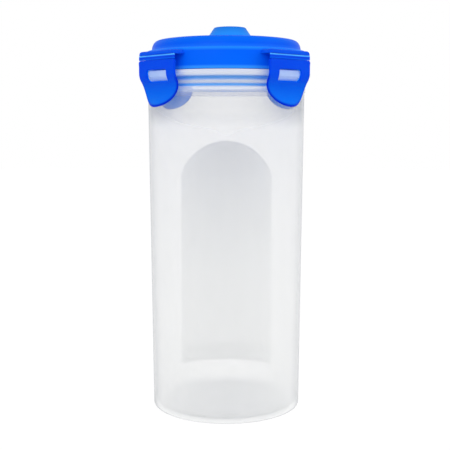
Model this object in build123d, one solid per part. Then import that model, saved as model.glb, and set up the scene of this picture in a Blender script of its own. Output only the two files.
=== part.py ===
"""Round pantry container with a lift-off lid and four clip latches.

Millimetres. The origin is the centre of the base, +Z runs up the container's axis and
-Y is the front. Every piece is a closed solid at its real place, with the lid shut.
"""
from build123d import *
import math
import os

# Container: overall sizes
base_radius = 47.9            # outer radius just above the base rounding
shoulder_radius = 50.0        # outer radius where the tapered wall ends
shoulder_height = 203.0       # top of the tapered wall
wall = 1.6                    # moulded wall of the container
floor_thickness = 1.8
base_rounding = 2.0           # outer rounding between wall and base
foot_width = 3.0              # width of the ring that the container stands on
foot_depth = 1.0              # how far the middle of the base is raised

# Container: neck and its rings
neck_inset = 0.5              # how far the neck stands inside the shoulder
lower_ring_out = 1.0          # shallow ring directly over the shoulder, outward from the neck
lower_ring_height = 3.1
middle_ring_out = 1.3         # second shallow ring, outward from the neck
middle_ring_height = 2.0
ring_groove = 1.7             # groove between the two shallow rings
ledge_groove = 2.4            # groove between the upper shallow ring and the ledge
ledge_out = 4.1               # ledge that carries the four tabs, outward from the neck
ledge_height = 3.4
ledge_chamfer_out = 1.0       # sloped underside of the ledge, measured outward
ledge_chamfer_up = 1.3        # the same, measured upward
mouth_over_ledge = 9.2        # height of the mouth over the ledge
ring_edge = 0.4               # small chamfer on the edges of the shallow rings

# Lid
lid_wall = 1.6
skirt_play = 0.5              # radial gap between neck and skirt
skirt_thickness = 1.5
skirt_over_ledge = 0.4        # gap between the ledge and the skirt's lower edge
flange_thickness = 1.8        # roof over the seal channel
flange_edge = 1.7             # rounding of the flange's outer edge
dome_over_plug = 0.6          # how far the raised middle's foot stands outside the plug wall
dome_draft = 0.7              # how far the raised middle leans in below its shoulder
dome_height = 6.8             # raised middle over the flange, at its edge
dome_crown = 0.5              # extra height of the raised middle at the knob
dome_shoulder_out = 4.2       # shoulder rounding, measured along the radius
dome_shoulder_up = 5.9        # shoulder rounding, measured upward
plug_play = 0.4               # radial gap between the plug wall and the mouth
plug_wall = 1.3
plug_depth = 5.0              # how far the plug wall reaches into the mouth

# Knob, a hollow cone moulded in the lid, a little to the right of the axis
knob_aside = 2.3
knob_base_radius = 15.6
knob_top_radius = 10.0
knob_height = 8.2
knob_edge = 0.9               # rounding of the knob's top edge

# Seal ring
seal_thickness = 2.3
seal_side_play = 0.1          # gap to each side of its channel
seal_compression_gap = 0.1    # gap between the seal and the mouth

# Latches, brackets and hinge strips
latch_angles = {"front_left": -135.0, "front_right": -45.0, "rear_right": 45.0, "rear_left": 135.0}
latch_width = 34.2
latch_over_ledge = 1.8        # gap between the ledge and the inner face of a latch
latch_thickness = 1.6
latch_corner = 1.6            # rounding of the latch's upper corners
bend_below_window = 1.5       # from the window's top down to where the latch starts to bend
waist_below_ledge = 8.2       # from the ledge down to where the latch comes nearest to the wall
waist_play = 1.5              # gap there to the widest ring of the neck
lip_radius = 11.0             # finger lip: bend that turns the end outward again
lip_sweep = 65.0              # how far round that bend the lip goes, in degrees
window_width = 18.4
window_below_ledge = 3.0      # from the ledge's underside down to the window's lower edge
window_corner = 1.4
tab_play = 0.3                # gap between a tab of the container and the window round it
tab_recess = 1.3              # from the latch's outer face in to the tab's face
tab_root = 1.6                # how far the tab reaches into the ledge
tab_slope = 1.15              # rise of the tab's underside, for each length outward from the ledge
bracket_thickness = 1.6
bracket_edge = 1.3            # rounding of the bracket's upper outer edge
bracket_corner = 2.2          # rounding of its two upper corners
hinge_inset = 0.75            # from the latch's outer face to the hinge lines
hinge_below_bracket = 3.05    # from the bracket's top down to the upper hinge line
hinge_spacing = 1.9           # between the two hinge lines
strip_thickness = 0.9         # thin web between the two hinge lines
strip_inset = 1.5             # how much shorter the web is at each end than the latch
hinge_play = 0.15             # gap round the rounded edges of the web

# Label on the rear wall
label_bottom = 15.0
label_below_shoulder = 31.0   # from the shoulder down to the top of the arch
label_half_angle = 40.0
label_arch = 23.0             # height of the arched top
label_thickness = 0.2
label_gap = 0.05
label_corner = 2.0
label_turn = 2.5              # the label's centre, degrees left of dead centre

# Heights and radii that follow
neck_radius = shoulder_radius - neck_inset
lower_ring_radius = neck_radius + lower_ring_out
middle_ring_radius = neck_radius + middle_ring_out
ledge_radius = neck_radius + ledge_out
ring_groove_bottom = shoulder_height + lower_ring_height
middle_ring_bottom = ring_groove_bottom + ring_groove
middle_ring_top = middle_ring_bottom + middle_ring_height
ledge_bottom = middle_ring_top + ledge_groove
ledge_top = ledge_bottom + ledge_height
rim_height = ledge_top + mouth_over_ledge
skirt_inner = neck_radius + skirt_play
skirt_outer = skirt_inner + skirt_thickness
skirt_bottom = ledge_top + skirt_over_ledge
channel_roof = rim_height + seal_compression_gap + seal_thickness
flange_top = channel_roof + flange_thickness
mouth_radius = neck_radius - wall
plug_outer = mouth_radius - plug_play
plug_inner = plug_outer - plug_wall
dome_radius = plug_outer + dome_over_plug
dome_top = flange_top + dome_height
latch_face = ledge_radius + latch_over_ledge + latch_thickness
waist_face = max(lower_ring_radius, middle_ring_radius) + waist_play + latch_thickness
bend_inward = latch_face - waist_face
window_bottom = ledge_bottom - window_below_ledge
window_top = skirt_bottom
half_window = window_width / 2
bend_top = window_top - bend_below_window
waist_height = ledge_bottom - waist_below_ledge
bracket_top = flange_top - flange_edge
upper_hinge_height = bracket_top - hinge_below_bracket
lower_hinge_height = upper_hinge_height - hinge_spacing
hinge_radius = latch_face - hinge_inset
tab_face = latch_face - tab_recess
half_latch = latch_width / 2
half_strip = half_latch - strip_inset
latch_bottom = waist_height - lip_radius * math.sin(math.radians(lip_sweep))
label_top = shoulder_height - label_below_shoulder
taper = math.atan2(shoulder_radius - base_radius, shoulder_height)


def on_arc(centre, radius, degrees):
    """Point at an angle on a circle in the (radius, height) plane."""
    angle = math.radians(degrees)
    return (centre[0] + radius * math.cos(angle), centre[1] + radius * math.sin(angle))


def arc(centre, radius, start, end):
    """Circular arc in the (radius, height) plane, between two angles in degrees."""
    points = [on_arc(centre, radius, a) for a in (start, (start + end) / 2, end)]
    return ThreePointArc(*points)


def turned(edges):
    """Solid of revolution about +Z from a closed outline in the (radius, height) plane."""
    return revolve(Plane.XZ * make_face(edges), Axis.Z, 360)


def chain(points):
    """Straight edges through a list of points."""
    return [Line(a, b) for a, b in zip(points, points[1:])]


def box_between(low, high):
    """Box from its lowest to its highest corner."""
    size = [b - a for a, b in zip(low, high)]
    middle = [(a + b) / 2 for a, b in zip(low, high)]
    return Pos(*middle) * Box(*size)


def wall_radius(height):
    """Outer radius of the tapered wall at a height."""
    return base_radius + height * math.tan(taper)


def make_tab():
    """Tab on the ledge that stands in a latch's window, drawn for a latch on +X."""
    half = half_window - tab_play
    root = ledge_radius - tab_root
    bottom = window_bottom + tab_play
    slope_top = bottom + tab_slope * (tab_face - ledge_radius)
    side = chain([
        (root, bottom), (ledge_radius, bottom), (tab_face, slope_top), (tab_face, ledge_top),
        (root, ledge_top), (root, bottom)])
    front = box_between((root, -half, bottom), (tab_face, half, ledge_top))
    front = fillet(front.edges().filter_by(Axis.X), window_corner - tab_play)
    return front & extrude(Plane.XZ * make_face(side), half, both=True)


def make_container():
    """Tapered cup with a raised base; two shallow rings and a ledge with four tabs on its neck."""
    foot_outer = base_radius - base_rounding
    foot_inner = foot_outer - foot_width
    floor_top = foot_depth + floor_thickness
    outer = chain([
        (0, foot_depth), (foot_inner - foot_depth, foot_depth), (foot_inner, 0), (foot_outer, 0)])
    outer.append(arc((foot_outer, base_rounding), base_rounding, -90, 0))
    step = ring_edge
    outer += chain([
        (base_radius, base_rounding), (shoulder_radius, shoulder_height),
        (lower_ring_radius, shoulder_height + step),
        (lower_ring_radius, ring_groove_bottom - step),
        (lower_ring_radius - step, ring_groove_bottom),
        (neck_radius, ring_groove_bottom), (neck_radius, middle_ring_bottom),
        (middle_ring_radius - step, middle_ring_bottom),
        (middle_ring_radius, middle_ring_bottom + step),
        (middle_ring_radius, middle_ring_top - step),
        (middle_ring_radius - step, middle_ring_top),
        (neck_radius, middle_ring_top), (neck_radius, ledge_bottom),
        (ledge_radius - ledge_chamfer_out, ledge_bottom),
        (ledge_radius, ledge_bottom + ledge_chamfer_up),
        (ledge_radius, ledge_top - step), (ledge_radius - step, ledge_top),
        (neck_radius, ledge_top), (neck_radius, rim_height), (mouth_radius, rim_height),
        (mouth_radius, ledge_bottom), (shoulder_radius - wall, shoulder_height),
        (wall_radius(floor_top + base_rounding) - wall, floor_top + base_rounding)])
    corner = (wall_radius(floor_top + base_rounding) - wall - base_rounding, floor_top + base_rounding)
    outer.append(arc(corner, base_rounding, 0, -90))
    outer += chain([(corner[0], floor_top), (0, floor_top), (0, foot_depth)])
    container = turned(outer)
    for angle in latch_angles.values():
        container += Rot(0, 0, angle) * make_tab()
    return container


def dome_outline(inset):
    """Edges of the raised middle from the flange to the axis, moved in by a wall, and their ends."""
    lean = dome_radius - dome_draft - inset
    spring = dome_top - dome_shoulder_up
    shoulder = dome_radius - dome_draft - dome_shoulder_out
    crown = (0, dome_top + dome_crown - inset)
    edges = [
        EllipticalCenterArc(
            (shoulder, spring), lean - shoulder, dome_shoulder_up - inset, arc_size=90),
        Line((shoulder, dome_top - inset), crown)]
    return edges, (lean, spring), crown


def knob_cone(inset, foot):
    """Solid cone with a rounded top edge, moved in by a wall, from a height up to its flat top."""
    top = dome_top + dome_crown + knob_height - inset
    slope = (knob_base_radius - knob_top_radius) / knob_height
    slant = math.atan(1 / slope)
    edge = knob_edge if inset == 0 else knob_edge / 2
    # The rounding touches the slanted side and the flat top
    reach = edge * math.tan(slant / 2)
    side = knob_top_radius - inset
    on_side = (side + reach * math.cos(slant), top - reach * math.sin(slant))
    on_top = (side - reach, top)
    middle = on_arc((on_top[0], top - edge), edge, 90 - math.degrees(slant) / 2)
    foot_radius = side + (top - foot) * slope
    cone = turned([
        Line((0, foot), (foot_radius, foot)), Line((foot_radius, foot), on_side),
        ThreePointArc(on_side, middle, on_top), Line(on_top, (0, top)), Line((0, top), (0, foot))])
    return Pos(knob_aside, 0, 0) * cone


def make_bracket():
    """Hood on the flange's side that carries one latch, drawn for a latch on +X."""
    lower_edge = upper_hinge_height + strip_thickness / 2 + hinge_play
    core = skirt_outer - skirt_thickness / 2
    root = math.sqrt(core ** 2 - half_latch ** 2)
    hood = box_between((root, -half_latch, lower_edge), (latch_face, half_latch, bracket_top))
    corners = hood.edges().filter_by(Axis.X).group_by(Axis.Z)[-1]
    hood = fillet(corners, bracket_corner)
    upper = hood.edges().filter_by(Axis.Y).sort_by(Axis.Z)[-2:].sort_by(Axis.X)[-1]
    hood = fillet(upper, bracket_edge)
    half_hollow = half_latch - bracket_thickness
    hood -= box_between(
        (root, -half_hollow, lower_edge),
        (latch_face - bracket_thickness, half_hollow, bracket_top - bracket_thickness))
    # The back follows the round skirt
    return hood - Pos(0, 0, bracket_top) * Cylinder(core, 2 * bracket_top)


def make_lid():
    """Moulded lid: raised middle with a hollow knob, flange, skirt, plug wall and brackets."""
    outer, outer_start, outer_end = dome_outline(0)
    inner, inner_start, inner_end = dome_outline(lid_wall)
    corner = (skirt_outer - flange_edge, flange_top - flange_edge)
    edges = chain([(skirt_outer, skirt_bottom), (skirt_outer, corner[1])])
    edges.append(arc(corner, flange_edge, 0, 90))
    edges += chain([(corner[0], flange_top), (dome_radius, flange_top), outer_start])
    edges += outer
    edges += chain([outer_end, inner_end])
    edges += inner
    plug_bottom = rim_height - plug_depth
    edges += chain([
        inner_start, (plug_inner, flange_top), (plug_inner, plug_bottom), (plug_outer, plug_bottom),
        (plug_outer, channel_roof), (skirt_inner, channel_roof),
        (skirt_inner, skirt_bottom), (skirt_outer, skirt_bottom)])
    lid = turned(edges)
    lid += knob_cone(0, dome_top - lid_wall / 2)
    lid -= knob_cone(lid_wall, dome_top - 2 * lid_wall)
    for angle in latch_angles.values():
        lid += Rot(0, 0, angle) * make_bracket()
    return lid


def make_seal():
    """Flat ring of soft rubber in the channel over the mouth."""
    inner = plug_outer + seal_side_play
    outer = skirt_inner - seal_side_play
    bottom = channel_roof - seal_thickness
    return turned(chain([
        (inner, bottom), (outer, bottom), (outer, channel_roof), (inner, channel_roof), (inner, bottom)]))


def latch_side():
    """Side outline of a latch: straight at the hinge, an S bend to the waist, then the lip."""
    drop = bend_top - waist_height
    half_turn = math.atan2(bend_inward, drop)
    sweep = math.degrees(2 * half_turn)
    radius = math.hypot(bend_inward / 2, drop / 2) / (2 * math.sin(half_turn))
    thick = latch_thickness
    waist = latch_face - bend_inward
    upper = (latch_face - radius, bend_top)
    lower = (waist + radius, waist_height)
    lip = (waist + lip_radius, waist_height)
    top = lower_hinge_height - strip_thickness / 2 - hinge_play
    lip_end = 180 + lip_sweep
    edges = chain([(latch_face, top), (latch_face, bend_top)])
    edges.append(arc(upper, radius, 0, -sweep))
    edges.append(arc(lower, radius, 180 - sweep, 180))
    edges.append(arc(lip, lip_radius, 180, lip_end))
    edges.append(Line(on_arc(lip, lip_radius, lip_end), on_arc(lip, lip_radius + thick, lip_end)))
    edges.append(arc(lip, lip_radius + thick, lip_end, 180))
    edges.append(arc(lower, radius + thick, 180, 180 - sweep))
    edges.append(arc(upper, radius - thick, -sweep, 0))
    edges += chain([(latch_face - thick, bend_top), (latch_face - thick, top), (latch_face, top)])
    return edges


def latch_front():
    """Front outline of a latch, as (across, height): straight sides and a round lower end."""
    spring = latch_bottom + half_latch
    edges = chain([
        (-half_latch, spring), (-half_latch, lower_hinge_height),
        (half_latch, lower_hinge_height), (half_latch, spring)])
    edges.append(ThreePointArc((half_latch, spring), (0, latch_bottom), (-half_latch, spring)))
    return edges


def make_latch():
    """Latch on +X: bent flap with a window for the tab and a lip for the finger."""
    plate = extrude(Plane.XZ * make_face(latch_side()), half_latch, both=True)
    front = extrude(Plane.YZ * make_face(latch_front()), latch_face * 2)
    latch = plate & front
    corners = latch.edges().filter_by(Axis.X).group_by(Axis.Z)[-1]
    latch = fillet(corners, latch_corner)
    window = box_between((0, -half_window, window_bottom), (latch_face * 2, half_window, window_top))
    window = fillet(window.edges().filter_by(Axis.X), window_corner)
    return latch - window


def make_strip():
    """Thin web between the two hinge lines on +X, with rounded edges centred on them."""
    radius = strip_thickness / 2
    web = box_between(
        (hinge_radius - radius, -half_strip, lower_hinge_height),
        (hinge_radius + radius, half_strip, upper_hinge_height))
    for height in (lower_hinge_height, upper_hinge_height):
        web += Pos(hinge_radius, 0, height) * Rot(90, 0, 0) * Cylinder(radius, 2 * half_strip)
    return web


def make_label():
    """Thin arch-topped label that follows the tapered wall at the back."""
    def shell(gap):
        low = wall_radius(label_bottom) + gap
        high = wall_radius(label_top) + gap
        return turned(chain([
            (0, label_bottom), (low, label_bottom), (high, label_top), (0, label_top), (0, label_bottom)]))

    half = wall_radius((label_bottom + label_top) / 2) * math.sin(math.radians(label_half_angle))
    spring = label_top - label_arch
    edges = chain([
        (-half, spring), (-half, label_bottom), (half, label_bottom), (half, spring)])
    edges.append(ThreePointArc((half, spring), (0, label_top), (-half, spring)))
    outline = extrude(Plane.XZ * make_face(edges), -2 * shoulder_radius)
    upright = outline.edges().filter_by(Axis.Y).group_by(Axis.Z)[0]
    outline = fillet(upright, label_corner)
    skin = shell(label_gap + label_thickness) - shell(label_gap)
    return Rot(0, 0, label_turn) * (skin & outline)


def save(name, solid):
    """Write one node, and print what it is."""
    export_step(solid, os.path.join("parts", name + ".step"))
    print(f"{name}: {len(solid.solids())} solid, {solid.volume:.1f} mm3")


os.makedirs("parts", exist_ok=True)
save("container_body", make_container())
save("lid_cover", make_lid())
save("lid_seal", make_seal())
latch = make_latch()
strip = make_strip()
for place, angle in latch_angles.items():
    save("latch_" + place, Rot(0, 0, angle) * latch)
    save("hinge_strip_" + place, Rot(0, 0, angle) * strip)
save("rear_label", make_label())
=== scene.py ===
# %% [markdown]
# # A see-through pantry canister with a blue clip-lock lid
#
# The imported model is a fixed frame: it gives every piece its real place and size, in metres.
# This script adds the looks. First it loads the frame.

# %% Load the frame
import math

import bpy
import bmesh
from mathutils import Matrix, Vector


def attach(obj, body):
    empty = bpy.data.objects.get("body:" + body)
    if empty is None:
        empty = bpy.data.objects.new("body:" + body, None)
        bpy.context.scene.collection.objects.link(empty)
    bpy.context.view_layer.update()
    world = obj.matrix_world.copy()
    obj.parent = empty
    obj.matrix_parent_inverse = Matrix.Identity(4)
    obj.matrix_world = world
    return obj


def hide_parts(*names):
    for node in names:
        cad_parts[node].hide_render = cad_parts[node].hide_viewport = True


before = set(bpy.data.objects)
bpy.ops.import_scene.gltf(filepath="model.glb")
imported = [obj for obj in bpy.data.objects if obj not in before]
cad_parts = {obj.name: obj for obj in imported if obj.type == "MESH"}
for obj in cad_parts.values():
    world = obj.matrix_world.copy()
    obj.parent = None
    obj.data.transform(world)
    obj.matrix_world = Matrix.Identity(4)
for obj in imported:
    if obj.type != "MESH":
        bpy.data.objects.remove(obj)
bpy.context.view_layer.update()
MM = 0.001
LATCH_ANGLES = {"front_left": -135.0, "front_right": -45.0, "rear_right": 45.0, "rear_left": 135.0}

# %% [markdown]
# ## Camera
#
# The camera stands where the photograph was taken from, a little over half a metre away, a bit
# below the lid, and looks slightly down. It stands 2.75 degrees to the right of the front, which
# is why the left latch looks a little further round than the right one.

# %% Place the camera
CAMERA_DISTANCE = 571.5 * MM
CAMERA_HEIGHT = 183.5 * MM
CAMERA_TURN = math.radians(2.75)
CAMERA_PITCH = math.radians(6.53)
CAMERA_ASIDE = -0.8 * MM
SENSOR_WIDTH = 36.0
FOCAL_PIXELS = 880.0
IMAGE_PIXELS = 450.0

camera_data = bpy.data.cameras.new("camera")
camera_data.sensor_width = SENSOR_WIDTH
camera_data.lens = FOCAL_PIXELS * SENSOR_WIDTH / IMAGE_PIXELS
camera = bpy.data.objects.new("camera", camera_data)
bpy.context.scene.collection.objects.link(camera)
right = Vector((math.cos(CAMERA_TURN), math.sin(CAMERA_TURN), 0.0))
away = Vector((math.sin(CAMERA_TURN), -math.cos(CAMERA_TURN), 0.0))
camera.location = away * CAMERA_DISTANCE + right * CAMERA_ASIDE + Vector((0, 0, CAMERA_HEIGHT))
camera.rotation_euler = (math.radians(90.0) - CAMERA_PITCH, 0.0, CAMERA_TURN)
bpy.context.scene.camera = camera
print("camera at", tuple(round(v, 4) for v in camera.location))

# %% [markdown]
# ## Two rules that shape most of the pieces
#
# A moulded cup or lid is a flat outline turned about an axis, and the four clips are one shape
# set round the lid four times. Both are rules, so both are Geometry Nodes trees. The first turns
# an outline: a grid gets one column for each point of the outline and one row for each step
# round, and every vertex looks up its point and turns it to its own angle. Merging by distance
# then closes the seam and the poles. A shift moves the middle of the shape aside, for the knob
# that does not stand on the axis.

# %% Helpers for node trees
def new_tree(name, inputs):
    """Geometry Nodes tree with a geometry in and out and named inputs."""
    tree = bpy.data.node_groups.new(name, "GeometryNodeTree")
    tree.interface.new_socket("Geometry", in_out="INPUT", socket_type="NodeSocketGeometry")
    for label, kind in inputs:
        tree.interface.new_socket(label, in_out="INPUT", socket_type=kind)
    tree.interface.new_socket("Geometry", in_out="OUTPUT", socket_type="NodeSocketGeometry")
    return tree, tree.nodes.new("NodeGroupInput"), tree.nodes.new("NodeGroupOutput")


def number(tree, operation, first, second=None, third=None):
    """Math node; each value is a socket or a plain number."""
    node = tree.nodes.new("ShaderNodeMath")
    node.operation = operation
    for place, value in enumerate((first, second, third)):
        if value is None:
            continue
        if isinstance(value, (int, float)):
            node.inputs[place].default_value = value
        else:
            tree.links.new(value, node.inputs[place])
    return node.outputs[0]


def finish_tree(tree, geometry, source, output):
    """End a tree: real geometry in place of instances, with its material."""
    realize = tree.nodes.new("GeometryNodeRealizeInstances")
    paint = tree.nodes.new("GeometryNodeSetMaterial")
    tree.links.new(geometry, realize.inputs[0])
    tree.links.new(realize.outputs[0], paint.inputs["Geometry"])
    tree.links.new(source.outputs["Material"], paint.inputs["Material"])
    tree.links.new(paint.outputs[0], output.inputs[0])
    return tree


# %% Tree that turns an outline
def turned_shell_tree():
    tree, source, output = new_tree("turned_shell", [
        ("Points", "NodeSocketInt"), ("Steps", "NodeSocketInt"), ("Shift", "NodeSocketFloat"),
        ("Shift Full Within", "NodeSocketFloat"), ("Shift Gone Beyond", "NodeSocketFloat"),
        ("Shift Above", "NodeSocketFloat"), ("Material", "NodeSocketMaterial")])
    columns = number(tree, "SUBTRACT", source.outputs["Points"], 1.0)
    grid = tree.nodes.new("GeometryNodeMeshGrid")
    tree.links.new(columns, grid.inputs["Size X"])
    tree.links.new(source.outputs["Steps"], grid.inputs["Size Y"])
    tree.links.new(source.outputs["Points"], grid.inputs["Vertices X"])
    rows = number(tree, "ADD", source.outputs["Steps"], 1.0)
    tree.links.new(rows, grid.inputs["Vertices Y"])
    position = tree.nodes.new("GeometryNodeInputPosition")
    split = tree.nodes.new("ShaderNodeSeparateXYZ")
    tree.links.new(position.outputs[0], split.inputs[0])
    half = number(tree, "MULTIPLY", columns, 0.5)
    index = number(tree, "ROUND", number(tree, "ADD", split.outputs["X"], half))
    share = number(tree, "DIVIDE", split.outputs["Y"], source.outputs["Steps"])
    angle = number(tree, "MULTIPLY", share, 2.0 * math.pi)
    look_up = tree.nodes.new("GeometryNodeSampleIndex")
    look_up.data_type = "FLOAT_VECTOR"
    outline_place = tree.nodes.new("GeometryNodeInputPosition")
    tree.links.new(source.outputs["Geometry"], look_up.inputs["Geometry"])
    tree.links.new(outline_place.outputs[0], look_up.inputs["Value"])
    tree.links.new(index, look_up.inputs["Index"])
    point = tree.nodes.new("ShaderNodeSeparateXYZ")
    tree.links.new(look_up.outputs["Value"], point.inputs[0])
    fade = tree.nodes.new("ShaderNodeMapRange")
    fade.interpolation_type = "SMOOTHSTEP"
    fade.inputs["To Min"].default_value = 1.0
    fade.inputs["To Max"].default_value = 0.0
    tree.links.new(point.outputs["X"], fade.inputs["Value"])
    tree.links.new(source.outputs["Shift Full Within"], fade.inputs["From Min"])
    tree.links.new(source.outputs["Shift Gone Beyond"], fade.inputs["From Max"])
    high = number(tree, "GREATER_THAN", point.outputs["Z"], source.outputs["Shift Above"])
    aside = number(tree, "MULTIPLY", number(tree, "MULTIPLY", fade.outputs[0], high),
                   source.outputs["Shift"])
    across = number(tree, "MULTIPLY", point.outputs["X"], number(tree, "COSINE", angle))
    place = tree.nodes.new("ShaderNodeCombineXYZ")
    tree.links.new(number(tree, "ADD", across, aside), place.inputs["X"])
    deep = number(tree, "MULTIPLY", point.outputs["X"], number(tree, "SINE", angle))
    tree.links.new(deep, place.inputs["Y"])
    tree.links.new(point.outputs["Z"], place.inputs["Z"])
    move = tree.nodes.new("GeometryNodeSetPosition")
    tree.links.new(grid.outputs["Mesh"], move.inputs["Geometry"])
    tree.links.new(place.outputs[0], move.inputs["Position"])
    weld = tree.nodes.new("GeometryNodeMergeByDistance")
    weld.inputs["Distance"].default_value = 0.001 * MM
    tree.links.new(move.outputs[0], weld.inputs["Geometry"])
    return finish_tree(tree, weld.outputs[0], source, output)


turned_shell = turned_shell_tree()
print("turned_shell has", len(turned_shell.nodes), "nodes")

# %% [markdown]
# The second tree sets a piece round the lid. It takes the piece drawn on the right-hand side,
# instances it on as many points as there are places, and turns each one about the lid's axis.

# %% Tree that sets a piece round the lid
def round_the_lid_tree():
    tree, source, output = new_tree("round_the_lid", [
        ("Places", "NodeSocketInt"), ("First Angle", "NodeSocketFloat"),
        ("Angle Between", "NodeSocketFloat"), ("Material", "NodeSocketMaterial")])
    points = tree.nodes.new("GeometryNodePoints")
    tree.links.new(source.outputs["Places"], points.inputs["Count"])
    count = tree.nodes.new("GeometryNodeInputIndex")
    angle = number(tree, "MULTIPLY_ADD", count.outputs[0], source.outputs["Angle Between"],
                   source.outputs["First Angle"])
    turn = tree.nodes.new("ShaderNodeCombineXYZ")
    tree.links.new(angle, turn.inputs["Z"])
    copies = tree.nodes.new("GeometryNodeInstanceOnPoints")
    tree.links.new(points.outputs[0], copies.inputs["Points"])
    tree.links.new(source.outputs["Geometry"], copies.inputs["Instance"])
    tree.links.new(turn.outputs[0], copies.inputs["Rotation"])
    return finish_tree(tree, copies.outputs[0], source, output)


round_the_lid = round_the_lid_tree()
print("round_the_lid has", len(round_the_lid.nodes), "nodes")

# %% [markdown]
# A tree works as a modifier. Its inputs are set by the sockets' identifiers, the evaluated
# result becomes a plain mesh, and the modifier goes. The result is then measured: a closed
# shell whose faces point outwards has a positive volume and no open edge.

# %% Grow a piece from a tree
SMOOTH_ANGLE = math.radians(35.0)


def check_shell(mesh, name):
    """Turn faces outwards if they point in, and print size and openness."""
    shell = bmesh.new()
    shell.from_mesh(mesh)
    volume = shell.calc_volume(signed=True)
    open_edges = sum(1 for edge in shell.edges if len(edge.link_faces) != 2)
    shell.free()
    if volume < 0:
        mesh.flip_normals()
    mesh.polygons.foreach_set("use_smooth", [True] * len(mesh.polygons))
    mesh.set_sharp_from_angle(angle=SMOOTH_ANGLE)
    print(name, len(mesh.polygons), "faces,", open_edges, "open edges,",
          round(abs(volume) / MM ** 3), "mm3")


def grow(name, start_mesh, tree, material, **values):
    """Run a tree on a starting mesh and link the plain result."""
    base = bpy.data.objects.new(name + "_base", start_mesh)
    bpy.context.scene.collection.objects.link(base)
    modifier = base.modifiers.new("grow", "NODES")
    modifier.node_group = tree
    settings = {key.replace("_", " "): value for key, value in values.items()}
    settings["Material"] = material
    for item in tree.interface.items_tree:
        if item.in_out == "INPUT" and item.name in settings:
            modifier[item.identifier] = settings[item.name]
    bpy.context.view_layer.update()
    evaluated = base.evaluated_get(bpy.context.evaluated_depsgraph_get())
    mesh = bpy.data.meshes.new_from_object(evaluated)
    base.modifiers.clear()
    bpy.data.objects.remove(base)
    mesh.name = name
    check_shell(mesh, name)
    piece = bpy.data.objects.new(name, mesh)
    bpy.context.scene.collection.objects.link(piece)
    return piece


# %% [markdown]
# An outline is a list of corners, each with the radius that the mould gives it. A sharp corner
# never shows on moulded plastic, so nearly every corner here has some radius, and catches a
# thin line of light as the real one does.

# %% Outlines with rounded corners
CORNER_STEPS = 5


def rounded_outline(corners):
    """Points along (radius, height, rounding) corners, in millimetres; the ends stay sharp."""
    points = [Vector(corners[0][:2])]
    for before, corner, after in zip(corners, corners[1:], corners[2:]):
        here = Vector(corner[:2])
        to_before = Vector(before[:2]) - here
        to_after = Vector(after[:2]) - here
        if corner[2] <= 0:
            points.append(here)
            continue
        angle = to_before.angle(to_after)
        reach = min(corner[2] / math.tan(angle / 2), 0.49 * to_before.length, 0.49 * to_after.length)
        start = here + to_before.normalized() * reach
        end = here + to_after.normalized() * reach
        for step in range(CORNER_STEPS + 1):
            t = step / CORNER_STEPS
            points.append(start * (1 - t) ** 2 + here * 2 * t * (1 - t) + end * t ** 2)
    points.append(Vector(corners[-1][:2]))
    return points


def quarter(centre, across, up, steps):
    """Corners along a quarter of an ellipse, from its side to its top."""
    turns = [math.pi / 2 * step / steps for step in range(steps + 1)]
    return [(centre[0] + across * math.cos(a), centre[1] + up * math.sin(a), 0.0) for a in turns]


def turned_piece(name, points, material, steps=192, **shift):
    """Turn an outline about the object's axis."""
    outline = bpy.data.meshes.new(name + "_outline")
    outline.from_pydata([(p.x * MM, 0.0, p.y * MM) for p in points], [], [])
    return grow(name, outline, turned_shell, material, Points=len(points), Steps=steps, **shift)


print("outline helpers ready")

# %% [markdown]
# ## Finishes
#
# A finish is a small tree of nodes. These helpers add a node and join it, so that each finish
# below reads as a short recipe. All patterns read Object coordinates or an attribute that the
# mesh carries, so nothing slides when the lid or a latch moves.

# %% Helpers for finishes
def new_finish(name, roughness, specular):
    """Empty node material; its even values are set on the shader itself."""
    material = bpy.data.materials.new(name)
    material.use_nodes = True
    shader = material.node_tree.nodes["Principled BSDF"]
    shader.inputs["Roughness"].default_value = roughness
    shader.inputs["Specular IOR Level"].default_value = specular
    return material, material.node_tree, shader


def colour_ramp(tree, value, stops):
    """Colours along a value from 0 to 1; stops are (place, colour)."""
    node = tree.nodes.new("ShaderNodeValToRGB")
    points = node.color_ramp.elements
    while len(points) < len(stops):
        points.new(0.5)
    for point, (place, colour) in zip(points, stops):
        point.position = place
        point.color = (*colour, 1.0)
    tree.links.new(value, node.inputs["Fac"])
    return node.outputs["Color"]


def object_place(tree):
    """Object coordinates, whole and split."""
    coordinates = tree.nodes.new("ShaderNodeTexCoord").outputs["Object"]
    split = tree.nodes.new("ShaderNodeSeparateXYZ")
    tree.links.new(coordinates, split.inputs[0])
    return coordinates, split


def between(tree, value, low, high, start=0.0, end=1.0):
    """Map a value from low..high to start..end, and no further."""
    node = tree.nodes.new("ShaderNodeMapRange")
    node.inputs["From Min"].default_value = low
    node.inputs["From Max"].default_value = high
    node.inputs["To Min"].default_value = start
    node.inputs["To Max"].default_value = end
    tree.links.new(value, node.inputs["Value"])
    return node.outputs["Result"]


def height_stops(low, high, stops):
    """Ramp stops written by their height in millimetres."""
    return [((z - low) / (high - low), colour) for z, colour in stops]


def noise(tree, coordinates, scale, detail=3.0):
    node = tree.nodes.new("ShaderNodeTexNoise")
    node.inputs["Scale"].default_value = scale
    node.inputs["Detail"].default_value = detail
    tree.links.new(coordinates, node.inputs["Vector"])
    return node.outputs["Fac"]


def mixed(tree, share, first, second, kind="MIX"):
    """Mix two colours; each is a socket or a colour."""
    node = tree.nodes.new("ShaderNodeMix")
    node.data_type = "RGBA"
    node.blend_type = kind
    if isinstance(share, float):
        node.inputs[0].default_value = share
    else:
        tree.links.new(share, node.inputs[0])
    for place, colour in ((6, first), (7, second)):
        if isinstance(colour, tuple):
            node.inputs[place].default_value = (*colour, 1.0)
        else:
            tree.links.new(colour, node.inputs[place])
    return node.outputs[2]


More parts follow.
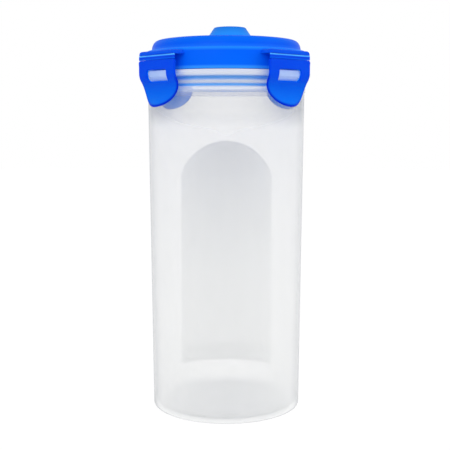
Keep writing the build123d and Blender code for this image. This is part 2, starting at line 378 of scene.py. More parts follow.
def bump(tree, shader, height, strength, distance):
    node = tree.nodes.new("ShaderNodeBump")
    node.inputs["Strength"].default_value = strength
    node.inputs["Distance"].default_value = distance
    tree.links.new(height, node.inputs["Height"])
    tree.links.new(node.outputs["Normal"], shader.inputs["Normal"])


print("finish helpers ready")

# %% [markdown]
# The cup is clear polypropylene, which is never as clear as glass: it scatters light, so it
# looks milky and pale grey. Real volume scattering would be slow, so the wall is a surface that
# is partly see-through, and it is denser where it is seen edge on; there its colour turns a
# painted darker grey, painted shade for the dark surroundings seen through the long path of
# wall. It is clearest just below the shoulder, where its colour is a painted grey shade that
# ends in a thin painted shadow line at the shoulder's step. The neck is painted a pale blue and
# its grooves a deeper blue: painted light, the blue of the lid and the latches seen through
# clear plastic.

# %% Milky clear plastic of the cup
CUP_LOW = 0.0
CUP_HIGH = 224.8
WALL_MILK = (0.92, 0.925, 0.93)
# The neck's pale blue and the grooves' deeper blue are painted light: the blue of the lid and the
# latches, seen in clear plastic.
NECK_PAINTED_BLUE_LIGHT = (0.86, 0.90, 0.99)
GROOVE_PAINTED_BLUE_LIGHT = (0.08, 0.40, 0.95)
CUP_COLOURS = [
    (0.0, (0.88, 0.895, 0.90)), (6.0, (0.95, 0.955, 0.955)), (60.0, (0.94, 0.945, 0.945)),
    # From 192 to 203 mm the colour is a painted grey shade under the shoulder, ending in a painted
    # shadow line at the step.
    (150.0, WALL_MILK), (182.0, WALL_MILK), (192.0, (0.56, 0.58, 0.61)),
    (201.8, (0.56, 0.58, 0.61)), (203.1, (0.88, 0.89, 0.92)),
    (203.7, NECK_PAINTED_BLUE_LIGHT), (205.9, NECK_PAINTED_BLUE_LIGHT), (206.3, GROOVE_PAINTED_BLUE_LIGHT), (207.6, GROOVE_PAINTED_BLUE_LIGHT),
    (208.0, NECK_PAINTED_BLUE_LIGHT), (209.6, NECK_PAINTED_BLUE_LIGHT), (210.0, GROOVE_PAINTED_BLUE_LIGHT), (212.0, GROOVE_PAINTED_BLUE_LIGHT),
    (212.6, NECK_PAINTED_BLUE_LIGHT), (224.8, NECK_PAINTED_BLUE_LIGHT)]
CUP_DENSITY = [
    (0.0, 0.30), (6.0, 0.24), (150.0, 0.30), (180.0, 0.26), (192.0, 0.11), (202.6, 0.11),
    # The denser line at 203.1 mm lets the painted shadow line at the shoulder's step show.
    (203.1, 0.32), (203.7, 0.30), (205.9, 0.30), (206.3, 0.66), (207.6, 0.66), (208.0, 0.30),
    (209.6, 0.30), (210.0, 0.66), (212.0, 0.66), (212.6, 0.60), (224.8, 0.60)]


# Painted shade: seen edge on, the wall's colour turns to this darker grey, for the dark surroundings
# seen through the long path of wall.
EDGE_ON_PAINTED_SHADE = (0.52, 0.54, 0.57)
DENSER_EDGE_ON = 0.60


def cup_finish():
    material, tree, shader = new_finish("milky_polypropylene", 0.40, 0.30)
    coordinates, split = object_place(tree)
    height = between(tree, split.outputs["Z"], CUP_LOW * MM, CUP_HIGH * MM)
    colour = colour_ramp(tree, height, height_stops(CUP_LOW, CUP_HIGH, CUP_COLOURS))
    cloud = between(tree, noise(tree, coordinates, 22.0), 0.35, 0.65, 0.0, 0.10)
    colour = mixed(tree, cloud, colour, (0.88, 0.89, 0.90))
    greys = [(z, (density, density, density)) for z, density in CUP_DENSITY]
    density = colour_ramp(tree, height, height_stops(CUP_LOW, CUP_HIGH, greys))
    edge = tree.nodes.new("ShaderNodeLayerWeight")
    edge.inputs["Blend"].default_value = 0.30
    # Painted shade where the wall is seen edge on.
    edge_on_shade_share = between(tree, edge.outputs["Facing"], 0.40, 1.0, 0.0, 0.95)
    tree.links.new(mixed(tree, edge_on_shade_share, colour, EDGE_ON_PAINTED_SHADE), shader.inputs["Base Color"])
    thicker = number(tree, "MULTIPLY", edge.outputs["Facing"], DENSER_EDGE_ON)
    tree.links.new(number(tree, "ADD", density, thicker), shader.inputs["Alpha"])
    bump(tree, shader, noise(tree, coordinates, 35.0, 1.0), 0.03, 0.0003)
    return material


cup_plastic = cup_finish()

# %% [markdown]
# Four tabs on the ledge stand in the latches' windows. They are thick, so they look denser than
# the wall. Their blue is painted light: the blue of the plastic all round them, painted into
# their colour.

# %% Thick clear plastic of the tabs, painted blue with light from round them
def tab_finish():
    material, tree, shader = new_finish("thick_polypropylene_painted_blue", 0.24, 0.35)
    coordinates, split = object_place(tree)
    cloud = between(tree, noise(tree, coordinates, 120.0), 0.3, 0.7)
    # The tab's blue is painted light: the blue of the plastic round it.
    colour = mixed(tree, cloud, (0.34, 0.50, 0.90), (0.42, 0.56, 0.93))
    tree.links.new(colour, shader.inputs["Base Color"])
    shader.inputs["Alpha"].default_value = 0.85
    bump(tree, shader, cloud, 0.04, 0.0002)
    return material


tab_plastic = tab_finish()

# %% [markdown]
# The lid and the latches are coloured polypropylene. The colour is deep and the gloss is soft.
# Thin edges let light through and look paler, and here that paleness is painted into the
# colour: the skirt's lower edge is one. Under the gloss the face has the very low waviness that
# a moulding shrinks into.

# %% Blue plastic of the lid
LID_LOW = 216.0
LID_HIGH = 244.5


def lid_finish():
    material, tree, shader = new_finish("lid_polypropylene", 0.36, 0.03)
    coordinates, split = object_place(tree)
    height = between(tree, split.outputs["Z"], LID_LOW * MM, LID_HIGH * MM)
    # Painted light by height: a pale band at the skirt's lower edge for light through it, a painted
    # highlight along the flange's edge, the raised middle a little darker, and the knob painted
    # lighter at its foot and slope and darker on its flat top.
    colour = colour_ramp(tree, height, height_stops(LID_LOW, LID_HIGH, [
        (216.0, (0.03, 0.29, 0.90)), (217.2, (0.025, 0.25, 0.88)), (218.4, (0.0, 0.115, 0.84)),
        (226.5, (0.0, 0.105, 0.84)), (228.2, (0.012, 0.215, 0.90)), (229.0, (0.008, 0.16, 0.86)),
        (231.5, (0.0, 0.105, 0.80)), (235.9, (0.0, 0.12, 0.78)), (236.15, (0.01, 0.20, 0.90)),
        (237.2, (0.0, 0.24, 0.94)), (240.0, (0.018, 0.25, 0.82)), (244.5, (0.01, 0.175, 0.66))]))
    shade = between(tree, noise(tree, coordinates, 40.0), 0.3, 0.7, 0.0, 0.10)
    tree.links.new(mixed(tree, shade, colour, (0.0, 0.16, 0.88)), shader.inputs["Base Color"])
    bump(tree, shader, noise(tree, coordinates, 60.0, 2.0), 0.06, 0.0004)
    return material


lid_blue = lid_finish()

# %% [markdown]
# On a latch the rim is rounded off and carries a painted darker shade, and the flap is painted
# brighter below the window, where it leans back towards the light. The mesh carries two
# attributes for this: one for the rim's shade, which is 1 at the outer edge, and "inner", which
# is 1 on the face towards the cup. That face is painted paler and glows weakly: painted light
# which stands for the light that comes through the plastic.

# %% Blue plastic of the latches
LATCH_LOW = 194.0
LATCH_HIGH = 228.0


def carried(tree, name):
    """Value of an attribute that the mesh carries."""
    node = tree.nodes.new("ShaderNodeAttribute")
    node.attribute_name = name
    return node.outputs["Fac"]


# Painted shade for the rounded rim, and a painted paler colour and glow for the inner face.
RIM_PAINTED_SHADE = (0.0, 0.022, 0.55)
INNER_PAINTED_PALE = (0.0, 0.13, 0.78)
THROUGH_BLUE = (0.0, 0.36, 1.0)
THROUGH_STRENGTH = 0.32


def latch_finish():
    material, tree, shader = new_finish("latch_polypropylene", 0.36, 0.025)
    coordinates, split = object_place(tree)
    height = between(tree, split.outputs["Z"], LATCH_LOW * MM, LATCH_HIGH * MM)
    # Painted light by height: the flap brighter below the window, and a little brighter again towards
    # the hood's top.
    colour = colour_ramp(tree, height, height_stops(LATCH_LOW, LATCH_HIGH, [
        (194.0, (0.0, 0.17, 0.80)), (200.0, (0.0, 0.13, 0.76)), (207.0, (0.0, 0.09, 0.72)),
        (211.0, (0.0, 0.062, 0.72)), (220.0, (0.0, 0.055, 0.72)), (228.0, (0.002, 0.085, 0.72))]))
    shade = between(tree, noise(tree, coordinates, 55.0), 0.3, 0.7, 0.0, 0.12)
    colour = mixed(tree, shade, colour, (0.0, 0.13, 0.80))
    # Painted shade on the rounded rim, and a painted paler colour on the inner face.
    colour = mixed(tree, carried(tree, "rim_shade"), colour, RIM_PAINTED_SHADE)
    colour = mixed(tree, carried(tree, "inner"), colour, INNER_PAINTED_PALE)
    tree.links.new(colour, shader.inputs["Base Color"])
    # A painted glow on the inner face stands for light that comes through the plastic.
    shader.inputs["Emission Color"].default_value = (*THROUGH_BLUE, 1.0)
    lit_through = number(tree, "MULTIPLY", carried(tree, "inner"), THROUGH_STRENGTH)
    tree.links.new(lit_through, shader.inputs["Emission Strength"])
    shader.inputs["Subsurface Weight"].default_value = 0.35
    shader.inputs["Subsurface Radius"].default_value = (0.4, 0.8, 1.0)
    shader.inputs["Subsurface Scale"].default_value = 1.5 * MM
    bump(tree, shader, noise(tree, coordinates, 80.0, 2.0), 0.06, 0.0003)
    return material


latch_blue = latch_finish()

# %% [markdown]
# The web between the two hinge lines is thin where it bends. Its upper edge shows as a bright
# line and its lower edge as a faint one: painted highlights, with some of the whitening that
# bending gives polypropylene. Between them the web is painted darker, a painted shade in the
# recess between hood and latch.

# %% Hinge webs: blue plastic with painted highlight lines and painted shade
WEB_LOW = 221.9
WEB_HIGH = 224.7


def web_finish():
    material, tree, shader = new_finish("hinge_web_painted_light", 0.38, 0.03)
    coordinates, split = object_place(tree)
    height = between(tree, split.outputs["Z"], WEB_LOW * MM, WEB_HIGH * MM)
    # Painted light by height: a faint painted line low, painted shade in the middle, and a bright
    # painted highlight along the upper edge.
    colour = colour_ramp(tree, height, height_stops(WEB_LOW, WEB_HIGH, [
        (221.9, (0.0, 0.11, 0.78)), (222.4, (0.0, 0.12, 0.80)), (222.7, (0.0, 0.05, 0.68)),
        (223.7, (0.0, 0.045, 0.66)), (223.95, (0.03, 0.30, 0.95)), (224.3, (0.10, 0.48, 1.0)),
        (224.7, (0.10, 0.48, 1.0))]))
    streak = between(tree, noise(tree, coordinates, 150.0), 0.35, 0.65, 0.0, 0.25)
    tree.links.new(mixed(tree, streak, colour, (0.0, 0.09, 0.84)), shader.inputs["Base Color"])
    return material


web_blue = web_finish()

# %% [markdown]
# The seal is pale silicone with a dull face. The label is plain film: the printed one is left
# out, and a blank one with soft tones takes its place.

# %% Silicone and label film
def seal_finish():
    material, tree, shader = new_finish("seal_silicone", 0.55, 0.3)
    coordinates, split = object_place(tree)
    speckle = noise(tree, coordinates, 500.0)
    colour = mixed(tree, speckle, (0.72, 0.78, 0.86), (0.80, 0.84, 0.90))
    tree.links.new(colour, shader.inputs["Base Color"])
    bump(tree, shader, speckle, 0.15, 0.0001)
    return material


LABEL_LOW = 15.0
LABEL_HIGH = 172.0
LABEL_COLOURS = [
    (15.0, (0.74, 0.79, 0.79)), (27.0, (0.74, 0.79, 0.79)), (28.5, (0.84, 0.87, 0.86)),
    (80.0, (0.82, 0.86, 0.86)), (125.0, (0.70, 0.76, 0.82)), (150.0, (0.52, 0.62, 0.78)),
    (172.0, (0.52, 0.62, 0.78))]
LABEL_DENSITY = [
    (15.0, 0.30), (27.0, 0.30), (28.5, 0.22), (80.0, 0.28), (125.0, 0.46), (150.0, 0.58),
    (172.0, 0.58)]


def label_finish():
    material, tree, shader = new_finish("plain_label_film", 0.5, 0.3)
    coordinates, split = object_place(tree)
    height = between(tree, split.outputs["Z"], LABEL_LOW * MM, LABEL_HIGH * MM)
    colour = colour_ramp(tree, height, height_stops(LABEL_LOW, LABEL_HIGH, LABEL_COLOURS))
    cloud = between(tree, noise(tree, coordinates, 30.0), 0.35, 0.65, 0.0, 0.2)
    tree.links.new(mixed(tree, cloud, colour, (0.84, 0.87, 0.88)), shader.inputs["Base Color"])
    greys = [(z, (density, density, density)) for z, density in LABEL_DENSITY]
    density = colour_ramp(tree, height, height_stops(LABEL_LOW, LABEL_HIGH, greys))
    tree.links.new(density, shader.inputs["Alpha"])
    bump(tree, shader, noise(tree, coordinates, 900.0, 1.0), 0.05, 0.0001)
    return material


seal_pale = seal_finish()
label_blank = label_finish()
print("finishes:", [m.name for m in bpy.data.materials if m.use_nodes])

# %% [markdown]
# ## The cup
#
# The wall flares a little from the base to the shoulder. Above it come two shallow rings, and the
# ledge that carries the four tabs. One outline runs from the middle of the base, up the outside,
# over the mouth and down the inside to the middle of the floor.

# %% Turn the cup
CUP_OUTLINE = [
    (0.0, 1.0, 0), (41.9, 1.0, 0.5), (42.9, 0.0, 0.3), (47.9, 0.0, 2.0),
    (50.0, 203.0, 0.2), (50.5, 203.4, 0.3), (50.5, 206.1, 0.4), (49.5, 206.1, 0.3),
    (49.5, 207.8, 0.3), (50.8, 207.8, 0.4), (50.8, 209.8, 0.4), (49.5, 209.8, 0.3),
    (49.5, 212.2, 0.3), (52.6, 212.2, 0.4), (53.6, 213.5, 0.6), (53.6, 215.6, 0.5),
    (49.5, 215.6, 0.3), (49.5, 224.8, 0.4), (47.9, 224.8, 0.4), (47.9, 212.2, 3.0),
    (48.4, 203.0, 3.0), (46.33, 2.8, 2.5), (0.0, 2.8, 0)]
cup = turned_piece("cup", rounded_outline(CUP_OUTLINE), cup_plastic)
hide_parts("container_body")
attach(cup, "container")

# %% [markdown]
# ## The lid
#
# The lid's outline runs from the flat top of the knob, down its slope, over the raised middle and
# the flange, down the skirt, round the channel that holds the seal, and back up under the raised
# middle into the hollow knob. The knob stands 2.3 mm right of the axis, so the tree shifts
# everything near the middle by that much.

# %% Turn the lid
DOME_STEPS = 8
DOME_EDGE = (43.2, 229.9)
DOME_SHOULDER = (4.2, 5.9)
DOME_MIDDLE = 236.3
DOME_CROWN = 0.5
LID_WALL = 1.6
CROWN_RADII = (18.0, 22.0, 26.0, 30.0, 34.0, 38.0, 41.0)
KNOB_ASIDE = 2.3


def crown(radii, middle):
    """Corners along the raised middle's top, which is highest at the axis."""
    return [(r, middle - DOME_CROWN * r / DOME_EDGE[0], 0.0) for r in radii]


dome_top_corners = crown(CROWN_RADII, DOME_MIDDLE)
dome_side_corners = quarter(DOME_EDGE, *DOME_SHOULDER, DOME_STEPS)[::-1]
inner_side_corners = quarter(
    DOME_EDGE, DOME_SHOULDER[0] - LID_WALL, DOME_SHOULDER[1] - LID_WALL, DOME_STEPS)
inner_top_corners = crown(CROWN_RADII[::-1], DOME_MIDDLE - LID_WALL)
LID_OUTLINE = (
    [(0.0, 244.5, 0), (10.0, 244.5, 1.1), (15.6, 236.15, 1.4)]
    + dome_top_corners + dome_side_corners
    + [(48.1, 229.0, 0.5), (51.5, 229.0, 1.7), (51.5, 216.0, 0.35), (50.0, 216.0, 0.35),
       (50.0, 227.2, 0.3), (47.5, 227.2, 0.3), (47.5, 219.8, 0.5), (46.2, 219.8, 0.5)]
    + inner_side_corners + inner_top_corners
    + [(14.0, 234.55, 0.8), (8.4, 242.9, 0.5), (0.0, 242.9, 0)])
lid = turned_piece(
    "lid", rounded_outline(LID_OUTLINE), lid_blue, Shift=KNOB_ASIDE * MM,
    Shift_Full_Within=17.0 * MM, Shift_Gone_Beyond=42.0 * MM, Shift_Above=230.0 * MM)
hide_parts("lid_cover")
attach(lid, "lid")

# %% [markdown]
# ## The brackets
#
# Each latch hangs from a hood that stands out from the flange. The hood is a row of upright
# sections from one end to the other. Each starts inside the round skirt, so that no gap shows
# behind the hood, and the sections near the ends are lower and shorter, which rounds its corners.

# %% Helpers for stacked sections
HALF_LATCH = 17.1


def rounded_rectangle(half_width, low, high, low_radius, high_radius, steps=6):
    """Points (across, height) round a rectangle, counter-clockwise from its lower right."""
    corners = [
        (half_width - low_radius, low + low_radius, low_radius, -90.0),
        (half_width - high_radius, high - high_radius, high_radius, 0.0),
        (high_radius - half_width, high - high_radius, high_radius, 90.0),
        (low_radius - half_width, low + low_radius, low_radius, 180.0)]
    points = []
    for across, height, radius, first in corners:
        for step in range(steps + 1):
            angle = math.radians(first + 90.0 * step / steps)
            points.append((across + radius * math.cos(angle), height + radius * math.sin(angle)))
    return points


def stack_sections(mesh, sections):
    """Join sections of equal length with walls, and close both ends; a section is 3-D points."""
    rings = [[mesh.verts.new(Vector(p) * MM) for p in section] for section in sections]
    for ring, following in zip(rings, rings[1:]):
        for place in range(len(ring)):
            after = (place + 1) % len(ring)
            mesh.faces.new((ring[place], ring[after], following[after], following[place]))
    mesh.faces.new(rings[0][::-1])
    mesh.faces.new(rings[-1])


def round_drop(distance, radius):
    """How far a rounded corner has dropped at a distance from its end."""
    inward = radius - min(distance, radius)
    return radius - math.sqrt(radius ** 2 - inward ** 2)


def start_mesh(name, mesh):
    """Plain mesh from a built one, with its faces turned outwards."""
    bmesh.ops.recalc_face_normals(mesh, faces=mesh.faces)
    result = bpy.data.meshes.new(name)
    mesh.to_mesh(result)
    mesh.free()
    return result


# %% Make one bracket, and set four
FIRST_LATCH = math.radians(LATCH_ANGLES["front_left"])
QUARTER_TURN = math.radians(90.0)
SKIRT_CORE = 50.75
HOOD_FRONT = 57.0
HOOD_LOW = 224.85
HOOD_HIGH = 227.3
HOOD_EDGE = 1.3
HOOD_CORNER = 2.2
HOOD_EDGE_STEPS = 6
HOOD_STEPS = 16
NEAR_HOOD_END = (0.0, 0.04, 0.12, 0.25, 0.45, 0.7, 1.0, 1.4, 1.8, HOOD_CORNER)


def hood_section(across):
    """One upright section of the hood: round skirt, underside, front, rounded edge, top."""
    to_end = HALF_LATCH - abs(across)
    front = HOOD_FRONT - round_drop(to_end, HOOD_EDGE)
    high = HOOD_HIGH - round_drop(to_end, HOOD_CORNER)
    edge = min(HOOD_EDGE, 0.9 * (high - HOOD_LOW))
    back = math.sqrt(SKIRT_CORE ** 2 - across ** 2)
    points = [(back, across, HOOD_LOW), (front, across, HOOD_LOW)]
    for step in range(HOOD_EDGE_STEPS + 1):
        angle = math.pi / 2 * step / HOOD_EDGE_STEPS
        points.append((
            front - edge + edge * math.cos(angle), across, high - edge + edge * math.sin(angle)))
    return points + [(back, across, high)]


def hood_mesh():
    mesh = bmesh.new()
    right = [HALF_LATCH - distance for distance in NEAR_HOOD_END]
    straight = HALF_LATCH - HOOD_CORNER
    right += [straight * step / HOOD_STEPS for step in range(HOOD_STEPS - 1, 0, -1)]
    places = [-across for across in right] + [0.0] + right[::-1]
    stack_sections(mesh, [hood_section(across) for across in places])
    return start_mesh("bracket_start", mesh)


brackets = grow(
    "lid_brackets", hood_mesh(), round_the_lid, latch_blue, Places=4,
    First_Angle=FIRST_LATCH, Angle_Between=QUARTER_TURN)
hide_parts("lid_cover")
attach(brackets, "lid")

# %% [markdown]
# ## The tabs
#
# A latch's window passes over a tab on the cup's ledge and holds under it. The tab's shape is a
# guess. Its underside slopes up towards its face, which keeps it clear of the window's lower edge
# while the lid lifts and the latches swing out. Its sections follow that slope.

# %% Make one tab, and set four
TAB_BACK = 52.0
LEDGE_FACE = 53.6
TAB_FACE = 55.7
TAB_HALF = 8.9
TAB_LOW = 209.5
TAB_HIGH = 215.6
TAB_SLOPE = 1.15
TAB_CORNER = 1.1
TAB_SECTIONS = (
    (TAB_BACK, 0.0), (LEDGE_FACE, 0.0), (54.5, 0.0), (55.35, 0.0), (55.55, 0.07), (55.66, 0.18),
    (TAB_FACE, 0.35))


def tab_mesh():
    mesh = bmesh.new()
    sections = []
    for place, inset in TAB_SECTIONS:
        low = TAB_LOW + TAB_SLOPE * max(place - LEDGE_FACE, 0.0) + inset
        outline = rounded_rectangle(
            TAB_HALF - inset, low, TAB_HIGH - inset, TAB_CORNER - inset, TAB_CORNER - inset)
        sections.append([(place, across, height) for across, height in outline])
    stack_sections(mesh, sections)
    return start_mesh("tab_start", mesh)


tabs = grow("ledge_tabs", tab_mesh(), round_the_lid, tab_plastic, Places=4,
            First_Angle=FIRST_LATCH, Angle_Between=QUARTER_TURN)
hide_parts("container_body")
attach(tabs, "container")

# %% [markdown]
# ## The seal
#
# A flat ring of silicone fills the channel over the mouth. Its outline is a closed loop, so the
# tree joins the last column of its grid to the first.

# %% Turn the seal
SEAL_OUTLINE = [
    (48.7, 224.9, 0), (49.9, 224.9, 0.4), (49.9, 227.2, 0.4), (47.6, 227.2, 0.4),
    (47.6, 224.9, 0.4), (48.7, 224.9, 0)]
seal = turned_piece("seal", rounded_outline(SEAL_OUTLINE), seal_pale)
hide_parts("lid_seal")
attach(seal, "lid")

# %% [markdown]
# ## The latches
#
# A latch is a flap with a window, and its outline is a rectangle that ends in a half circle. It
# hangs straight from its hinge, bends in under the ledge, and ends in a lip that turns out for
# the finger. The flap is a ring of faces between the window and the outline, drawn flat and then
# laid on the bent middle surface. The wall thins towards every edge, which rounds it off.

# %% The bent middle surface of a latch
FACE = 57.0
THICKNESS = 1.6
BEND_TOP = 214.5
WAIST = 204.0
BEND_INWARD = 3.1
LIP_RADIUS = 11.0
BEND_HALF = math.atan2(BEND_INWARD, BEND_TOP - WAIST)
BEND_RADIUS = math.hypot(BEND_INWARD, BEND_TOP - WAIST) / (4 * math.sin(BEND_HALF))


def latch_surface(height):
    """Radius of the flap's middle surface at a height, and the direction its outside faces."""
    half = THICKNESS / 2
    upper = BEND_RADIUS - half
    lower = BEND_RADIUS + half
    if height >= BEND_TOP:
        return FACE - half, (1.0, 0.0)
    if height >= WAIST + lower * math.sin(2 * BEND_HALF):
        angle = math.asin((BEND_TOP - height) / upper)
        return FACE - BEND_RADIUS + upper * math.cos(angle), (math.cos(angle), -math.sin(angle))
    waist_face = FACE - BEND_INWARD
    if height >= WAIST:
        angle = math.asin((height - WAIST) / lower)
        return waist_face + BEND_RADIUS - lower * math.cos(angle), (math.cos(angle), -math.sin(angle))
    around = LIP_RADIUS + half
    angle = math.asin(min((WAIST - height) / around, 1.0))
    return waist_face + LIP_RADIUS - around * math.cos(angle), (math.cos(angle), math.sin(angle))


# %% How far a point lies inside the outline, and outside the window
LATCH_TOP = 221.75
LATCH_BOTTOM = 194.05
TOP_CORNER = 1.6
WINDOW_MIDDLE = 212.6
WINDOW_HALF = (9.2, 3.4)
WINDOW_CORNER = 1.4
REACH_BETWEEN = (0.5, 40.0)
HALVINGS = 40


def inside_outline(across, height):
    spring = LATCH_BOTTOM + HALF_LATCH
    if height < spring:
        return HALF_LATCH - math.hypot(across, height - spring)
    over_side = abs(across) - (HALF_LATCH - TOP_CORNER)
    over_top = height - (LATCH_TOP - TOP_CORNER)
    if over_side > 0 and over_top > 0:
        return TOP_CORNER - math.hypot(over_side, over_top)
    return TOP_CORNER - max(over_side, over_top)


def outside_window(across, height):
    over_side = abs(across) - (WINDOW_HALF[0] - WINDOW_CORNER)
    over_top = abs(height - WINDOW_MIDDLE) - (WINDOW_HALF[1] - WINDOW_CORNER)
    beyond = math.hypot(max(over_side, 0.0), max(over_top, 0.0))
    return beyond + min(max(over_side, over_top), 0.0) - WINDOW_CORNER


def reach(inside, angle):
    """Distance from the window's middle to an edge, along a direction, by halving."""
    near, far = REACH_BETWEEN
    for _ in range(HALVINGS):
        middle = (near + far) / 2
        point = (middle * math.cos(angle), WINDOW_MIDDLE + middle * math.sin(angle))
        near, far = (middle, far) if inside(*point) else (near, middle)
    return near


# %% Make one latch
EDGE_ROUND = 0.62
HINGE_ROUND = 0.25
AROUND = 256
NEAR_EDGE = (0.0, 0.05, 0.14, 0.27, 0.43, 0.65, 0.95, 1.35)
ACROSS_STEPS = 12
# Where the rim's painted shade lies: its width from the edge, and how it fades across the window.
RIM_WIDTH = 1.5
RIM_FADE_FROM = 214.0
RIM_FADE_OVER = 4.0
RIM_LEAST = 0.25
INNER_INSET = 0.7


def latch_sections():
    """Rows of (across, height) points from the window's edge to the outline."""
    rows = []
    for step in range(AROUND):
        angle = 2 * math.pi * step / AROUND
        start = reach(lambda u, z: outside_window(u, z) < 0, angle)
        end = reach(lambda u, z: inside_outline(u, z) > 0, angle)
        last = NEAR_EDGE[-1]
        room = end - start - 2 * last
        distances = [start + d for d in NEAR_EDGE]
        distances += [start + last + room * i / ACROSS_STEPS for i in range(1, ACROSS_STEPS)]
        distances += [end - d for d in reversed(NEAR_EDGE)]
        rows.append([(r * math.cos(angle), WINDOW_MIDDLE + r * math.sin(angle)) for r in distances])
    return rows


def half_wall(distance, rounding):
    """Half of the wall at a distance from the edge: a round, then the full wall."""
    inward = rounding - min(max(distance, 0.0), rounding)
    return THICKNESS / 2 - rounding + math.sqrt(rounding ** 2 - inward ** 2)


def latch_mesh():
    mesh = bmesh.new()
    rim_shade = mesh.verts.layers.float.new("rim_shade")
    inner = mesh.verts.layers.float.new("inner")
    sheets = []
    for side in (1, -1):
        sheet = []
        for row in latch_sections():
            line = []
            for across, height in row:
                to_edge = inside_outline(across, height)
                finer = min(max((height - LATCH_TOP + 2 * TOP_CORNER) / TOP_CORNER, 0.0), 1.0)
                rounding = EDGE_ROUND + (HINGE_ROUND - EDGE_ROUND) * finer
                wall = half_wall(min(to_edge, outside_window(across, height)), rounding)
                radius, facing = latch_surface(height)
                vertex = mesh.verts.new(Vector((
                    radius + side * wall * facing[0], across, height + side * wall * facing[1])) * MM)
                # The rim's painted shade is full below the window and a quarter as strong above it;
                # the inner face is marked for its painted paler colour and glow.
                low = min(max((RIM_FADE_FROM - height) / RIM_FADE_OVER, RIM_LEAST), 1.0)
                vertex[rim_shade] = low * max(1.0 - max(to_edge, 0.0) / RIM_WIDTH, 0.0) ** 1.5
                vertex[inner] = 1.0 if side < 0 and to_edge > INNER_INSET else 0.0
                line.append(vertex)
            sheet.append(line)
        sheets.append(sheet)
    front, back = sheets
    for i in range(AROUND):
        j = (i + 1) % AROUND
        for k in range(len(front[0]) - 1):
            mesh.faces.new((front[i][k], front[i][k + 1], front[j][k + 1], front[j][k]))
            mesh.faces.new((back[i][k], back[j][k], back[j][k + 1], back[i][k + 1]))
        mesh.faces.new((front[i][-1], back[i][-1], back[j][-1], front[j][-1]))
        mesh.faces.new((front[i][0], front[j][0], back[j][0], back[i][0]))
    return start_mesh("latch_start", mesh)


one_latch = latch_mesh()
print("one latch has", len(one_latch.polygons), "faces")

# %% Set a latch on each side, each on its own body
for place, degrees in LATCH_ANGLES.items():
    flap = grow("flap_" + place, one_latch.copy(), round_the_lid, latch_blue, Places=1,
                First_Angle=math.radians(degrees), Angle_Between=0.0)
    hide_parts("latch_" + place)
    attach(flap, "latch_" + place)

# %% [markdown]
# ## The hinge webs
#
# A latch and its bracket are one moulding on the real lid, joined by a thin web that bends along
# two lines. The web is a flat strip with round edges, each level with a hinge line. It stands a
# hair further out than the solid's web, so that the closed hinge shows no dark gap.

# %% Make one web, and set one at each latch
WEB_RADIUS = 56.4
WEB_HALF = 0.5
HINGE_LINES = (222.35, 224.25)
HALF_WEB = 16.7
WEB_EDGE_STEPS = 8
WEB_STEPS = 24


def web_mesh():
    outline = []
    for middle, first in ((HINGE_LINES[1], 0.0), (HINGE_LINES[0], 180.0)):
        for step in range(WEB_EDGE_STEPS + 1):
            angle = math.radians(first + 180.0 * step / WEB_EDGE_STEPS)
            outline.append((
                WEB_RADIUS + WEB_HALF * math.cos(angle), middle + WEB_HALF * math.sin(angle)))
    mesh = bmesh.new()
    sections = [
        [(radius, HALF_WEB * (2 * step / WEB_STEPS - 1), height) for radius, height in outline]
        for step in range(WEB_STEPS + 1)]
    stack_sections(mesh, sections)
    return start_mesh("web_start", mesh)


one_web = web_mesh()
for place, degrees in LATCH_ANGLES.items():
    web = grow("web_" + place, one_web.copy(), round_the_lid, web_blue, Places=1,
               First_Angle=math.radians(degrees), Angle_Between=0.0)
    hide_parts("hinge_strip_" + place)
    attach(web, "strip_" + place)

# %% [markdown]
# ## The label
#
# The label is a thin film on the back of the tapered wall, with an arched top. Each column of
# its grid runs from the lower edge to the arch, a hair outside the wall, and a second sheet lies
# behind it, so that it is closed.

# %% Lay the label on the wall
LABEL_TURN = math.radians(92.5)
LABEL_HALF_ANGLE = math.radians(40.0)
ARCH_HEIGHT = 23.0
LABEL_CORNER = 2.0


def wall_radius(height):
    return 47.9 + 2.1 * height / 203.0


label_half = wall_radius((LABEL_LOW + LABEL_HIGH) / 2) * math.sin(LABEL_HALF_ANGLE)
arch_radius = (label_half ** 2 + ARCH_HEIGHT ** 2) / (2 * ARCH_HEIGHT)


def label_column(across):
    """Lowest and highest point of the label at a distance from its middle."""
    top = LABEL_HIGH - arch_radius + math.sqrt(max(arch_radius ** 2 - across ** 2, 0.0))
    over = abs(across) - (label_half - LABEL_CORNER)
    bottom = LABEL_LOW
    if over > 0:
        bottom += LABEL_CORNER - math.sqrt(max(LABEL_CORNER ** 2 - over ** 2, 0.0))
    return bottom, top


def label_mesh(columns=96, rows=60):
    mesh = bmesh.new()
    sheets = []
    for gap in (0.25, 0.05):
        sheet = []
        for i in range(columns + 1):
            across = label_half * math.sin(math.pi / 2 * (2 * i / columns - 1))
            bottom, top = label_column(across)
            line = []
            for k in range(rows + 1):
                height = bottom + (top - bottom) * k / rows
                radius = wall_radius(height) + gap
                angle = LABEL_TURN - math.asin(across / radius)
                line.append(mesh.verts.new(Vector((
                    radius * math.cos(angle), radius * math.sin(angle), height)) * MM))
            sheet.append(line)
        sheets.append(sheet)
    outer, inner = sheets
    for i in range(columns):
        for k in range(rows):
            mesh.faces.new((outer[i][k], outer[i + 1][k], outer[i + 1][k + 1], outer[i][k + 1]))
            mesh.faces.new((inner[i][k], inner[i][k + 1], inner[i + 1][k + 1], inner[i + 1][k]))
        for k in (0, rows):
            mesh.faces.new((outer[i][k], inner[i][k], inner[i + 1][k], outer[i + 1][k]))
    for i in (0, columns):
        for k in range(rows):
            mesh.faces.new((outer[i][k], outer[i][k + 1], inner[i][k + 1], inner[i][k]))
    result = start_mesh("label", mesh)
    result.materials.append(label_blank)
    check_shell(result, "label")
    return result


label = bpy.data.objects.new("label", label_mesh())
bpy.context.scene.collection.objects.link(label)
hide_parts("rear_label")
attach(label, "container")

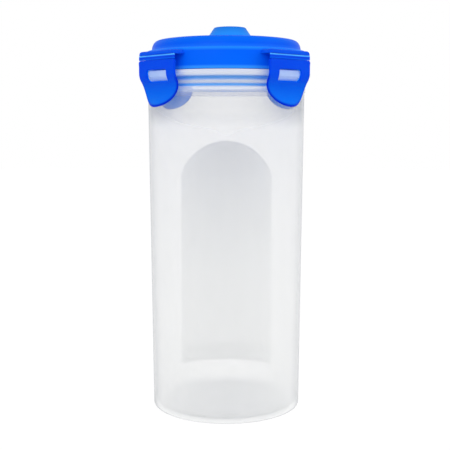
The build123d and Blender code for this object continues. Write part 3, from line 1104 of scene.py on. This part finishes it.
# %% [markdown]
# ## Floor, backdrop and light
#
# The photograph shows the canister on plain white. The floor is white where the camera sees it,
# straight or through the cup, and still takes a soft shadow. Two large soft lamps and the world
# light the object at a plain level.

# %% White surroundings
world = bpy.data.worlds.new("world")
world.use_nodes = True
tree = world.node_tree
background = tree.nodes["Background"]
paths = tree.nodes.new("ShaderNodeLightPath")
tree.links.new(between(tree, paths.outputs["Is Camera Ray"], 0.0, 1.0, 0.85, 1.0),
               background.inputs["Strength"])
background.inputs["Color"].default_value = (1.0, 1.0, 1.0, 1.0)
bpy.context.scene.world = world

# %% Floor
FLOOR_HALF = 3.0
GLOW_SHARE = 0.93
floor_mesh = bpy.data.meshes.new("floor")
floor_mesh.from_pydata(
    [(-FLOOR_HALF, -FLOOR_HALF, 0), (FLOOR_HALF, -FLOOR_HALF, 0),
     (FLOOR_HALF, FLOOR_HALF, 0), (-FLOOR_HALF, FLOOR_HALF, 0)], [], [(0, 1, 2, 3)])
floor = bpy.data.objects.new("floor", floor_mesh)
bpy.context.scene.collection.objects.link(floor)
floor_white, tree, shader = new_finish("floor_white", 0.9, 0.0)
shader.inputs["Base Color"].default_value = (0.9, 0.9, 0.9, 1.0)
paths = tree.nodes.new("ShaderNodeLightPath")
glow = tree.nodes.new("ShaderNodeEmission")
glow.inputs["Color"].default_value = (1.0, 1.0, 1.0, 1.0)
glow.inputs["Strength"].default_value = 1.04
mix = tree.nodes.new("ShaderNodeMixShader")
seen = number(tree, "MAXIMUM", paths.outputs["Is Camera Ray"], paths.outputs["Is Transmission Ray"])
tree.links.new(number(tree, "MULTIPLY", seen, GLOW_SHARE), mix.inputs["Fac"])
tree.links.new(shader.outputs[0], mix.inputs[1])
tree.links.new(glow.outputs[0], mix.inputs[2])
tree.links.new(mix.outputs[0], tree.nodes["Material Output"].inputs["Surface"])
floor_mesh.materials.append(floor_white)


# %% Lamps
def soft_lamp(name, place, target, size, power):
    data = bpy.data.lights.new(name, "AREA")
    data.shape = "RECTANGLE"
    data.size, data.size_y = size
    data.energy = power
    lamp = bpy.data.objects.new(name, data)
    lamp.location = place
    lamp.rotation_euler = (Vector(target) - Vector(place)).to_track_quat("-Z", "Y").to_euler()
    bpy.context.scene.collection.objects.link(lamp)


LIT_POINT = (0.0, 0.0, 0.13)
soft_lamp("front_lamp", (-0.35, -0.9, 0.75), LIT_POINT, (0.7, 0.7), 3.6)
soft_lamp("side_lamp", (0.9, -0.3, 0.6), LIT_POINT, (0.6, 0.9), 2.2)
bpy.context.scene.view_settings.view_transform = "Standard"
print("stage is set")
